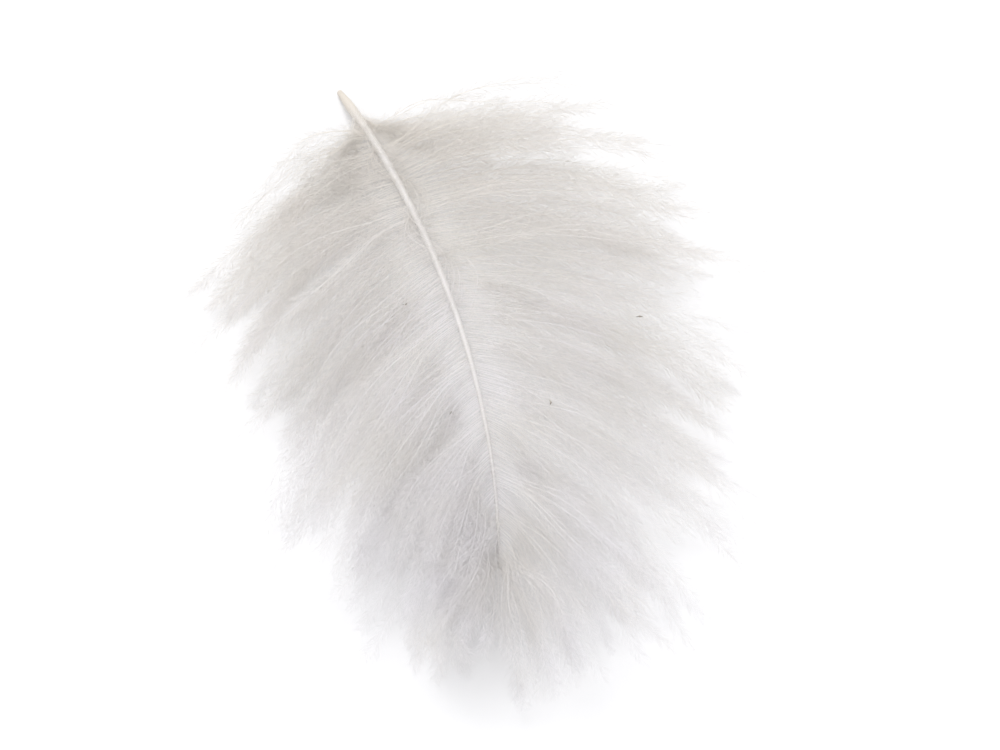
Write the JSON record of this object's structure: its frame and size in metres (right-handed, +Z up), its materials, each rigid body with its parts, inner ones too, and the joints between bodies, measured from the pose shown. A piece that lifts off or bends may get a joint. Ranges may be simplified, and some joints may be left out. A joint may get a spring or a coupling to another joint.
{
  "type": "cul de canard feather",
  "caption": "Small white downy feather lying hollow side down, with a slender curved shaft, a bare quill end and soft locks of barbs that fan out beyond the tip.",
  "frame": {"origin": "on the surface that the feather lies on, under the middle of its box", "axes": "+Y towards the bare quill end, -Y towards the feather's tip, +X towards its right vane as seen from above, +Z up"},
  "size_m": [0.0476, 0.0573, 0.0121],
  "materials": {
    "white_down": "soft silky white down, slightly see-through at the edges",
    "quill": "smooth white horn with a satin shine, cream at the bare root end"
  },
  "bodies": {
    "root": {"feather": "white_down"}
  },
  "joints": []
}
